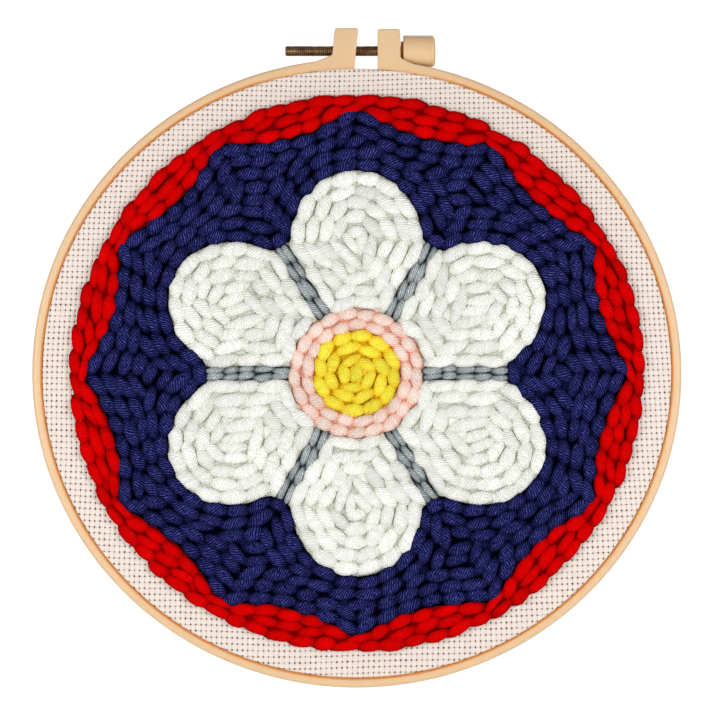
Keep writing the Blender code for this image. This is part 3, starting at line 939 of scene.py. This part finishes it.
def closest(points, others):
    """Distance from each point to the nearest of the others."""
    gaps = np.full(len(points), np.inf)
    for start in range(0, len(others), 500):
        block = np.abs(points[:, None] - others[None, start : start + 500])
        gaps = np.minimum(gaps, block.min(axis=1))
    return gaps


def kept_runs(keep):
    """Runs of neighbouring kept points on a closed outline, each as their numbers in order."""
    if keep.all():
        return [np.arange(len(keep) + 1) % len(keep)]
    numbers = np.roll(np.arange(len(keep)), -int(np.argmin(keep)))
    breaks = np.flatnonzero(~keep[numbers])
    runs = np.split(numbers, breaks)
    return [run[1:] for run in runs if len(run) > 2]


def cut_row(row, spacing, random):
    """Ends of the stitches along a row: equal lengths with a little unevenness."""
    lengths = np.concatenate([[0.0], np.cumsum(np.abs(np.diff(row)))])
    if lengths[-1] < 0.5 * spacing:
        return []
    count = max(1, int(round(lengths[-1] / spacing)))
    places = np.linspace(0.0, lengths[-1], count + 1)
    closed = abs(row[0] - row[-1]) < 2 * OUTLINE_STEP
    places[1:-1] += random.uniform(-0.1, 0.1, count - 1) * spacing
    if closed:
        places = places + random.uniform(0.0, spacing)
    places = places % lengths[-1] if closed else places
    ends = np.interp(places, lengths, row.real) + 1j * np.interp(places, lengths, row.imag)
    return list(zip(ends[:-1], ends[1:]))


def rows_along(outlines, width, spacing, random):
    """Stitches in rows that follow an area's outlines inwards, a stitch's width apart.

    The row at level k is the outline moved in by (k + 1/2) widths. It is kept where no part of an
    outline is nearer than that and no earlier row is in the way.
    """
    edge = np.concatenate(outlines)
    laid = np.zeros(0, complex)
    stitches = []
    for level in range(16):
        inset = (level + 0.5) * width
        found = False
        for outline in outlines:
            heading = np.roll(outline, -1) - np.roll(outline, 1)
            row = outline + 1j * heading / np.abs(heading) * inset
            keep = closest(row, edge) > inset - 0.03 * width
            if len(laid):
                keep &= closest(row, laid) > ROW_KEPT_APART * width
            if not keep.any():
                continue
            found = True
            for run in kept_runs(keep):
                stitches += cut_row(row[run], spacing, random)
            laid = np.concatenate([laid, row[keep]])
        if not found:
            break
    return stitches


def stitch_gaps(cells, starts, ends):
    """Nearest stitch to each cell, taken as a line from end to end, and the distance to it."""
    nearest = np.zeros(len(cells), int)
    gaps = np.full(len(cells), np.inf)
    for first in range(0, len(starts), 48):
        start = starts[None, first : first + 48]
        span = ends[None, first : first + 48] - start
        offset = cells[:, None] - start
        share = np.clip((offset * span.conj()).real / np.abs(span) ** 2, 0.08, 0.92)
        block = np.abs(offset - share * span)
        best = block.argmin(axis=1)
        block_gap = block[np.arange(len(cells)), best]
        closer = block_gap < gaps
        nearest[closer] = best[closer] + first
        gaps[closer] = block_gap[closer]
    return nearest, gaps


def fill_bare_spots(cells, stitches, width, spacing):
    """Add a stitch wherever the nearest one is far off, in line with its neighbour."""
    starts = np.array([stitch[0] for stitch in stitches])
    ends = np.array([stitch[1] for stitch in stitches])
    nearest, gaps = stitch_gaps(cells, starts, ends)
    for _ in range(120):
        spot = int(gaps.argmax())
        if gaps[spot] < BARE_DISTANCE * width:
            break
        span = ends[nearest[spot]] - starts[nearest[spot]]
        half = 0.36 * spacing * span / abs(span)
        starts = np.append(starts, cells[spot] - half)
        ends = np.append(ends, cells[spot] + half)
        _, new_gaps = stitch_gaps(cells, starts[-1:], ends[-1:])
        closer = new_gaps < gaps
        nearest[closer] = len(starts) - 1
        gaps[closer] = new_gaps[closer]
    return starts, ends


def settle(cells, starts, ends, width, spacing):
    """Let the stitches share the area evenly, and give each its middle, heading, length and width.

    Each stitch moves towards the middle of the cells nearest to it. The spread of those cells
    along and across gives its length and width, as for an even bar: length = sqrt(12 * variance).
    """
    for _ in range(SETTLING_ROUNDS):
        nearest, _ = stitch_gaps(cells, starts, ends)
        count = np.maximum(np.bincount(nearest, minlength=len(starts)), 1)
        middle_x = np.bincount(nearest, cells.real, len(starts)) / count
        middle_y = np.bincount(nearest, cells.imag, len(starts)) / count
        offset = cells - (middle_x + 1j * middle_y)[nearest]
        doubled = np.bincount(nearest, (offset**2).real, len(starts)) / count
        doubled = doubled + 1j * np.bincount(nearest, (offset**2).imag, len(starts)) / count
        total = np.bincount(nearest, np.abs(offset) ** 2, len(starts)) / count
        heading = (ends - starts) / np.abs(ends - starts)
        lean = doubled * heading.conj() ** 2
        turn = np.clip(np.angle(lean) / 2, -SETTLING_TURN, SETTLING_TURN)
        turn = turn * np.clip(np.abs(lean) / total, 0.0, 1.0)
        heading = heading * np.exp(1j * turn)
        long_side = np.sqrt(6.0 * (total + np.abs(doubled)))
        short_side = np.sqrt(np.maximum(6.0 * (total - np.abs(doubled)), 1e-9))
        length = np.clip(long_side, 0.45 * spacing, 1.5 * spacing)
        old_middle = (starts + ends) / 2
        middle = old_middle + SETTLING_MOVE * (middle_x + 1j * middle_y - old_middle)
        half = 0.5 * heading * np.maximum(length - 0.25 * width, 0.3 * spacing)
        filled = count > 3
        starts = np.where(filled, middle - half, starts)
        ends = np.where(filled, middle + half, ends)
    used = filled & (short_side > 0.35 * width)
    return {
        "middle": middle[used],
        "heading": heading[used],
        "length": length[used],
        "width": np.clip(short_side, 0.75 * width, 1.35 * width)[used],
        "rise": np.ones(int(used.sum())),
    }


def bareness(cells, stitches):
    """How far each cell lies outside the nearest stitch: under 1 it is covered.

    With a and b for a drawn stitch's half length and half width, it is
    |along / a|^2.2 + |across / b|^1.67.
    """
    lowest = np.full(len(cells), np.inf)
    heading = stitches["heading"] * np.exp(1j * STITCH_SLANT)
    for first in range(0, len(heading), 48):
        block = slice(first, first + 48)
        offset = (cells[:, None] - stitches["middle"][None, block]) * heading[None, block].conj()
        along = np.abs(offset.real) / (DRAWN_HALF_LENGTH * stitches["length"][None, block])
        across = np.abs(offset.imag) / (DRAWN_HALF_WIDTH * stitches["width"][None, block])
        lowest = np.minimum(lowest, (along**2.2 + across**1.67).min(axis=1))
    return lowest


def cover_chinks(cells, stitches, width, spacing):
    """Add short, low stitches wherever the settled ones leave the ground bare."""
    bare = bareness(cells, stitches)
    for _ in range(220):
        spot = int(bare.argmax())
        if bare[spot] < BARE_LIMIT:
            break
        nearest = int(np.abs(stitches["middle"] - cells[spot]).argmin())
        extra = {
            "middle": cells[spot : spot + 1],
            "heading": stitches["heading"][nearest : nearest + 1],
            "length": np.array([0.60 * spacing]),
            "width": np.array([0.80 * width]),
            "rise": np.array([FILLER_RISE]),
        }
        stitches = {name: np.concatenate([values, extra[name]]) for name, values in stitches.items()}
        bare = np.minimum(bare, bareness(cells, extra))
    return stitches


def field_cells():
    """Small even cells over the stitched field, and the name of the area that each lies in."""
    half = int(FIELD_HALF_WIDTH / CELL) + 2
    steps = np.arange(-half, half + 1) * CELL
    across, up = np.meshgrid(steps, steps, indexing="ij")
    cells = (across + 1j * up).ravel()
    stretched = cells.real + 1j * cells.imag / FIELD_PROPORTION
    radius = np.abs(stretched)
    angle = np.angle(stretched)
    sector = (angle - math.pi / 2) * PETALS / FULL_TURN
    petal = np.round(sector).astype(int) % PETALS
    vein = np.floor(sector).astype(int) % PETALS
    from_vein = (sector - np.floor(sector) - 0.5) * FULL_TURN / PETALS
    on_vein = (radius * np.abs(np.sin(from_vein)) < VEIN_HALF_WIDTH) & (radius < VEIN_END)
    area = np.full(len(cells), "outside", dtype="<U16")
    area[radius < FIELD_HALF_WIDTH] = "red"
    area[radius < border_radius(angle)] = "navy"
    flower = radius < flower_radius(angle)
    for index in range(PETALS):
        area[flower & (petal == index)] = f"white_{index + 1}"
    for index in range(PETALS):
        area[flower & on_vein & (vein == index)] = f"grey_{index + 1}"
    area[radius < PINK_RADIUS] = "pink"
    area[radius < CENTRE_RADIUS] = "yellow"
    return cells, area


def vein_rows(direction, spacing, random):
    """Two rows of stitches side by side along a vein."""
    stitches = []
    for side in (-0.5, 0.5):
        radii = np.linspace(PINK_RADIUS + 0.0004, VEIN_END - 0.0004, 60)
        row = field_point(radii, direction + side * np.arcsin(VEIN_HALF_WIDTH / radii))
        stitches += cut_row(row, spacing, random)
    return stitches


def stitched_areas():
    """Every stitched area: its name, colour, solid, outlines and, for a vein, its direction."""
    centre = round_outline(CENTRE_RADIUS)
    pink = round_outline(PINK_RADIUS)
    flower = round_outline(flower_radius)
    border = round_outline(border_radius)
    rim = round_outline(FIELD_HALF_WIDTH)
    areas = [
        ("yellow", "yellow", "yellow_centre", [centre], None),
        ("pink", "pink", "pink_ring", [pink, centre[::-1]], None),
        ("navy", "navy", "navy_ground", [border, flower[::-1]], None),
        ("red", "red", "red_border", [rim, border[::-1]], None),
    ]
    for index in range(PETALS):
        middle = math.pi / 2 + FULL_TURN * index / PETALS
        vein = middle + math.pi / PETALS
        number = index + 1
        areas.append((f"white_{number}", "white", f"white_petal_{number}", [petal_outline(middle)], None))
        areas.append((f"grey_{number}", "grey", f"grey_vein_{number}", [vein_outline(vein)], vein))
    return areas


def tube_template(rings, shares):
    """Corner numbers and pattern places of a tube with a pole at each end.

    Points are numbered pole, rings, pole. A corner's place is its share round the tube and the
    number of the ring that it is on.
    """
    sides = len(shares)
    shares = np.append(shares, 1.0)
    between = (shares[:-1] + shares[1:]) / 2
    quads = 1 + ring_quads(rings - 2, sides)
    side = (quads[:, [0, 0, 3, 3]] - 1) % sides + [0, 1, 1, 0]
    first_ring = 1 + np.arange(sides)
    start = fan(0, first_ring, False)
    end = fan(1 + (rings - 2) * sides, first_ring + (rings - 3) * sides, True)[:, [1, 2, 0]]
    start_round = np.stack([between, shares[1:], shares[:-1]], axis=-1)
    end_round = np.stack([shares[:-1], shares[1:], between], axis=-1)
    ring_numbers = np.repeat([[0, 1, 1], [rings - 2, rings - 2, rings - 1]], sides, axis=0)
    return {
        "quads": quads,
        "triangles": np.concatenate([start, end]),
        "quad_places": (shares[side], (quads - 1) // sides + 1),
        "triangle_places": (np.concatenate([start_round, end_round]), ring_numbers),
    }


def tubes(centres, rights, ups, half_widths, half_heights, along, shares):
    """Closed tubes of yarn, one for each row of centres.

    A point at share u round a ring lies at centre - right * half width * sin(turn)
    - up * half height * cos(turn), with turn = u * full turn. The first and last centres are poles.
    """
    count, rings = centres.shape[:2]
    turns = FULL_TURN * np.array(shares)
    middle = slice(1, rings - 1)
    sideways = -half_widths[:, middle, None, None] * np.sin(turns)[None, None, :, None]
    upwards = -half_heights[:, middle, None, None] * np.cos(turns)[None, None, :, None]
    body = centres[:, middle, None] + rights[:, middle, None] * sideways + ups[:, middle, None] * upwards
    points = np.concatenate([centres[:, :1], body.reshape(count, -1, 3), centres[:, -1:]], axis=1)
    template = tube_template(rings, np.array(shares))
    shift = (np.arange(count) * points.shape[1])[:, None, None]
    patterns = []
    for round_share, ring_number in (template["quad_places"], template["triangle_places"]):
        lengthwise = along[:, ring_number] / STRAND_PITCH
        across = np.broadcast_to(round_share[None], lengthwise.shape)
        patterns.append(np.stack([across, lengthwise], axis=-1).reshape(-1, 2))
    return {
        "points": points.reshape(-1, 3),
        "quads": (template["quads"][None] + shift).reshape(-1, 4),
        "triangles": (template["triangles"][None] + shift).reshape(-1, 3),
        "quad_uv": patterns[0],
        "triangle_uv": patterns[1],
        "per_tube": points.shape[1],
    }


def in_frame(heading):
    """Directions in the frame from directions in the hoop's plane, one for each tube."""
    return np.stack([heading.real, 0.0 * heading.real, heading.imag], axis=-1)[:, None, :]


def stitch_shape(stitches, edge, random):
    """Plump stitches on the front.

    With t from -1 to 1 along a stitch, its half width is width / 2 * (1 - |t|^2.2)^0.6 and its
    middle's height falls from half the yarn's height as |t|^2.5, so the ends dive into the cloth.
    Along the area's edge the stitches lie nearly in line, so that no end sticks out.
    """
    count = len(stitches["middle"])
    inside = np.clip(closest(stitches["middle"], edge) / stitches["width"] - 0.6, 0.0, 1.0)
    sway = random.normal(0.0, STITCH_SWAY, count) * (0.4 + 0.6 * inside)
    heading = stitches["heading"] * np.exp(1j * (EDGE_SLANT + (STITCH_SLANT - EDGE_SLANT) * inside + sway))
    right = -1j * heading
    length = stitches["length"] * random.uniform(*STITCH_OVERLAP, count)
    width = stitches["width"] * random.uniform(*STITCH_PLUMPNESS, count)
    tallest = YARN_HEIGHT * np.clip(width / FULL_WIDTH, 0.88, 1.0)
    height = tallest * random.uniform(0.84, 1.0, count) * stitches["rise"]
    bow = random.normal(0.0, STITCH_BOW, count)
    lean = random.normal(0.05, 0.07, count)
    t = np.sin(np.linspace(-math.pi / 2, math.pi / 2, STITCH_RINGS))[None, :]
    taper = (1.0 - np.abs(t) ** 2.2) ** 0.6
    plane = stitches["middle"][:, None] + heading[:, None] * length[:, None] / 2 * t
    plane = plane + right[:, None] * bow[:, None] * (1.0 - t**2)
    rise = height[:, None] * (0.5 - 0.40 * np.abs(t) ** 2.5 + lean[:, None] * t)
    centres = placed(plane, CLOTH_FRONT - rise)
    along = length[:, None] / 2 * t + random.uniform(0.0, 40 * STRAND_PITCH, count)[:, None]
    shape = tubes(
        centres,
        np.broadcast_to(in_frame(right), centres.shape),
        np.broadcast_to(np.array([0.0, -1.0, 0.0]), centres.shape),
        width[:, None] / 2 * taper * random.normal(1.0, 0.035, centres.shape[:2]),
        height[:, None] / 2 * taper**0.8,
        along,
        STITCH_SHARES,
    )
    shape["tone_and_shade"] = np.repeat(random.normal(1.0, TONE_SPREAD, count), shape["per_tube"])
    # Crest: height over the cloth, which sets how far the painted shade darkens the yarn
    over_cloth = CLOTH_FRONT - shape["points"][:, 1]
    shape["crest"] = np.clip(over_cloth / np.repeat(tallest, shape["per_tube"]), 0.0, 1.0)
    return shape


def loop_shape(stitches, random):
    """Loops behind the cloth, two beside each whole stitch.

    A loop's middle line is nearly half an oval: spread * cos(s) along the row and height *
    sin(s)^0.8 backwards, with s from 0 to half a turn.
    """
    whole = stitches["rise"] > FILLER_RISE
    stitches = {name: np.tile(values[whole], len(LOOPS_ALONG_STITCH)) for name, values in stitches.items()}
    count = len(stitches["middle"])
    places = np.repeat(LOOPS_ALONG_STITCH, whole.sum())
    hole = stitches["middle"] + places * stitches["length"] * stitches["heading"]
    hole = hole + random.normal(0.0, LOOP_WANDER, count) + 1j * random.normal(0.0, LOOP_WANDER, count)
    heading = stitches["heading"] * np.exp(1j * random.normal(0.0, LOOP_SWAY, count))
    thickness = np.clip(stitches["width"] / STITCH_SIZES["navy"]["width"], 0.7, 1.05)
    radius = LOOP_YARN_RADIUS * random.uniform(0.92, 1.08, count) * thickness
    tall = (LOOP_HEIGHT - radius * LOOP_FLATTENING) * random.uniform(*LOOP_TALLNESS, count)
    spread = LOOP_HALF_SPREAD * random.uniform(0.85, 1.2, count) * thickness
    s = np.linspace(0.0, math.pi, LOOP_RINGS)[None, :]
    plane = hole[:, None] + heading[:, None] * spread[:, None] * np.cos(s)
    centres = placed(plane, CLOTH_BACK + tall[:, None] * np.sin(s) ** 0.8)
    back = np.array([0.0, 1.0, 0.0])
    ups = in_frame(heading) * np.cos(s)[..., None] + back * np.sin(s)[..., None]
    rights = np.broadcast_to(in_frame(1j * heading), centres.shape)
    half = radius[:, None] * np.ones_like(s)
    along = tall[:, None] * 2.4 * s / math.pi + random.uniform(0.0, 40 * STRAND_PITCH, count)[:, None]
    shape = tubes(centres, rights, ups, half, half * LOOP_FLATTENING, along, LOOP_SHARES)
    shape["tone_and_shade"] = np.repeat(random.normal(1.0, TONE_SPREAD, count), shape["per_tube"])
    # Crest: height behind the cloth, which sets how far the painted shade darkens the loops
    shape["crest"] = np.clip((shape["points"][:, 1] - CLOTH_BACK) / LOOP_HEIGHT, 0.0, 1.0)
    return shape


def pad_shape(outlines, setback, face, height):
    """Low pad on a face of the cloth that closes the chinks between an area's stitches or loops.

    Its outer outline is drawn in by a setback. Without an inner outline it closes on its middle.
    A height below zero stands for a pad that rises towards the front. Its strands run slantwise.
    Its colour is a painted shade: a low crest gives it the yarn's gap colour, and a lower tone
    darkens it further.
    """
    outer = outlines[0]
    heading = np.roll(outer, -1) - np.roll(outer, 1)
    inward = 1j * heading / np.abs(heading)
    rim = (outer + inward * setback)[::PAD_STRIDE]
    shoulder = (outer + inward * (setback + abs(height) / 2))[::PAD_STRIDE]
    hub = np.full(len(rim), rim.mean())
    if len(outlines) > 1:
        inner = outlines[1]
        order = np.argsort(np.angle(inner))
        angles = np.angle(inner)[order]
        hub = np.interp(np.angle(rim), angles, np.abs(inner)[order], period=FULL_TURN) * rim / np.abs(rim)
    top = face + height
    rows = [placed(hub, face), placed(rim, face), placed(rim, face + height / 2)]
    rows += [placed(shoulder, top), placed(hub, top)]
    points = np.concatenate(rows)
    quads = ring_quads(len(rows), len(rim))
    quads = quads if height < 0.0 else quads[:, ::-1]
    corners = points[quads.ravel()]
    return {
        "points": points,
        "quads": quads,
        "triangles": np.zeros((0, 3), int),
        "quad_uv": np.stack([corners[:, 0] / STRANDS_ROUND, corners[:, 2]], axis=-1) / STRAND_PITCH,
        "triangle_uv": np.zeros((0, 2)),
        # Painted shade: the pad's tone and crest give it the yarn's darkened gap colour
        "tone_and_shade": np.full(len(points), PAD_SHADE_TONE),
        "crest": np.full(len(points), PAD_SHADE_CREST),
    }


def yarn_piece(name, shapes, finish):
    """One piece of several shapes of yarn, with its strands' pattern and its points' values."""
    firsts = np.cumsum([0] + [len(shape["points"]) for shape in shapes[:-1]])
    points = np.concatenate([shape["points"] for shape in shapes])
    faces = []
    for kind in ("quads", "triangles"):
        faces += np.concatenate([shape[kind] + first for shape, first in zip(shapes, firsts)]).tolist()
    uv = np.concatenate([shape["quad_uv"] for shape in shapes] + [shape["triangle_uv"] for shape in shapes])
    values = {key: np.concatenate([shape[key] for shape in shapes]) for key in ("tone_and_shade", "crest")}
    return new_piece(name, points, faces, finish, "hoop", uv, values)


def make_yarn_work(finishes):
    """Stitches of every area on the front, and the loops of every colour behind."""
    cells, cell_area = field_cells()
    loops = {colour: [] for colour in YARN_COLOURS}
    for number, (area, colour, solid, outlines, vein) in enumerate(stitched_areas()):
        random = np.random.default_rng(FIRST_SEED + number)
        width = STITCH_SIZES[colour]["width"]
        spacing = STITCH_SIZES[colour]["spacing"]
        if vein is None:
            rows = rows_along(outlines, width, spacing, random)
        else:
            rows = vein_rows(vein, spacing, random)
        own_cells = cells[cell_area == area]
        starts, ends = fill_bare_spots(own_cells, rows, width, spacing)
        stitches = settle(own_cells, starts, ends, width, spacing)
        edge = np.concatenate(outlines)
        inner_cells = own_cells[closest(own_cells, edge) > 0.3 * width]
        stitches = cover_chinks(inner_cells, stitches, width, spacing)
        setback = PAD_SETBACK if area == "red" else 0.0
        shapes = [stitch_shape(stitches, edge, random)]
        shapes += [pad_shape(outlines, setback, CLOTH_FRONT, -STITCH_SIZES[colour]["pad"])]
        loops[colour].append(loop_shape(stitches, random))
        loops[colour].append(pad_shape(outlines, setback, CLOTH_BACK, BACK_PAD_HEIGHT))
        piece = yarn_piece(solid + "_rows", shapes, finishes[colour])
        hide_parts(solid)
        colour + "_yarn"
    for colour, shapes in loops.items():
        piece = yarn_piece(colour + "_loops", shapes, finishes[colour])
        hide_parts("loop_pile")
        colour + "_yarn"


def area_light(name, place, size, power):
    """Soft square light that looks at the hoop's middle."""
    lamp = bpy.data.lights.new(name, "AREA")
    lamp.size = size
    lamp.energy = power
    light = bpy.data.objects.new(name, lamp)
    light.location = place
    light.rotation_euler = (Vector(HOOP_MIDDLE) - Vector(place)).to_track_quat("-Z", "Y").to_euler()
    bpy.context.scene.collection.objects.link(light)


def make_studio():
    """Camera, white surroundings, soft lights and a pale floor well below the hanging piece."""
    scene = bpy.context.scene
    lens = bpy.data.cameras.new("camera")
    lens.sensor_width = SENSOR_WIDTH
    lens.lens = SENSOR_WIDTH * CAMERA_DISTANCE / VIEW_WIDTH
    camera = bpy.data.objects.new("camera", lens)
    camera.location = (CAMERA_AIM[0], FRONT - CAMERA_DISTANCE, CAMERA_AIM[1])
    camera.rotation_euler = (math.pi / 2, 0.0, 0.0)
    scene.collection.objects.link(camera)
    scene.camera = camera
    scene.view_settings.view_transform = "Standard"

    world = bpy.data.worlds.new("white surroundings")
    world.use_nodes = True
    seen = Amount(add_node(world.node_tree, "ShaderNodeLightPath").outputs["Is Camera Ray"])
    glow = {"Strength": seen * 0.75 + 0.30, "Color": (1.0, 1.0, 1.0, 1.0)}
    set_inputs(world.node_tree.nodes["Background"], glow)
    scene.world = world
    for name, place, size, power in LIGHTS:
        area_light(name, place, size, power)

    floor_mesh = bpy.data.meshes.new("floor")
    floor_mesh.from_pydata([(x, y, FLOOR_HEIGHT) for x, y in FLOOR_CORNERS], [], [(0, 1, 2, 3)])
    floor = bpy.data.objects.new("floor", floor_mesh)
    pale, _, shader = new_material("pale floor")
    set_inputs(shader, {"Base Color": (0.8, 0.8, 0.8, 1.0), "Roughness": 0.9})
    floor_mesh.materials.append(pale)
    scene.collection.objects.link(floor)


def main():
    """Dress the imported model."""
    make_studio()
    finishes = make_finishes()
    make_outer_ring(finishes["plastic"])
    make_inner_ring(finishes["plastic"])
    make_screw(finishes["brass"])
    make_knob(finishes["plastic"])
    make_cloth(finishes["cloth"])
    make_yarn_work(finishes)


main()
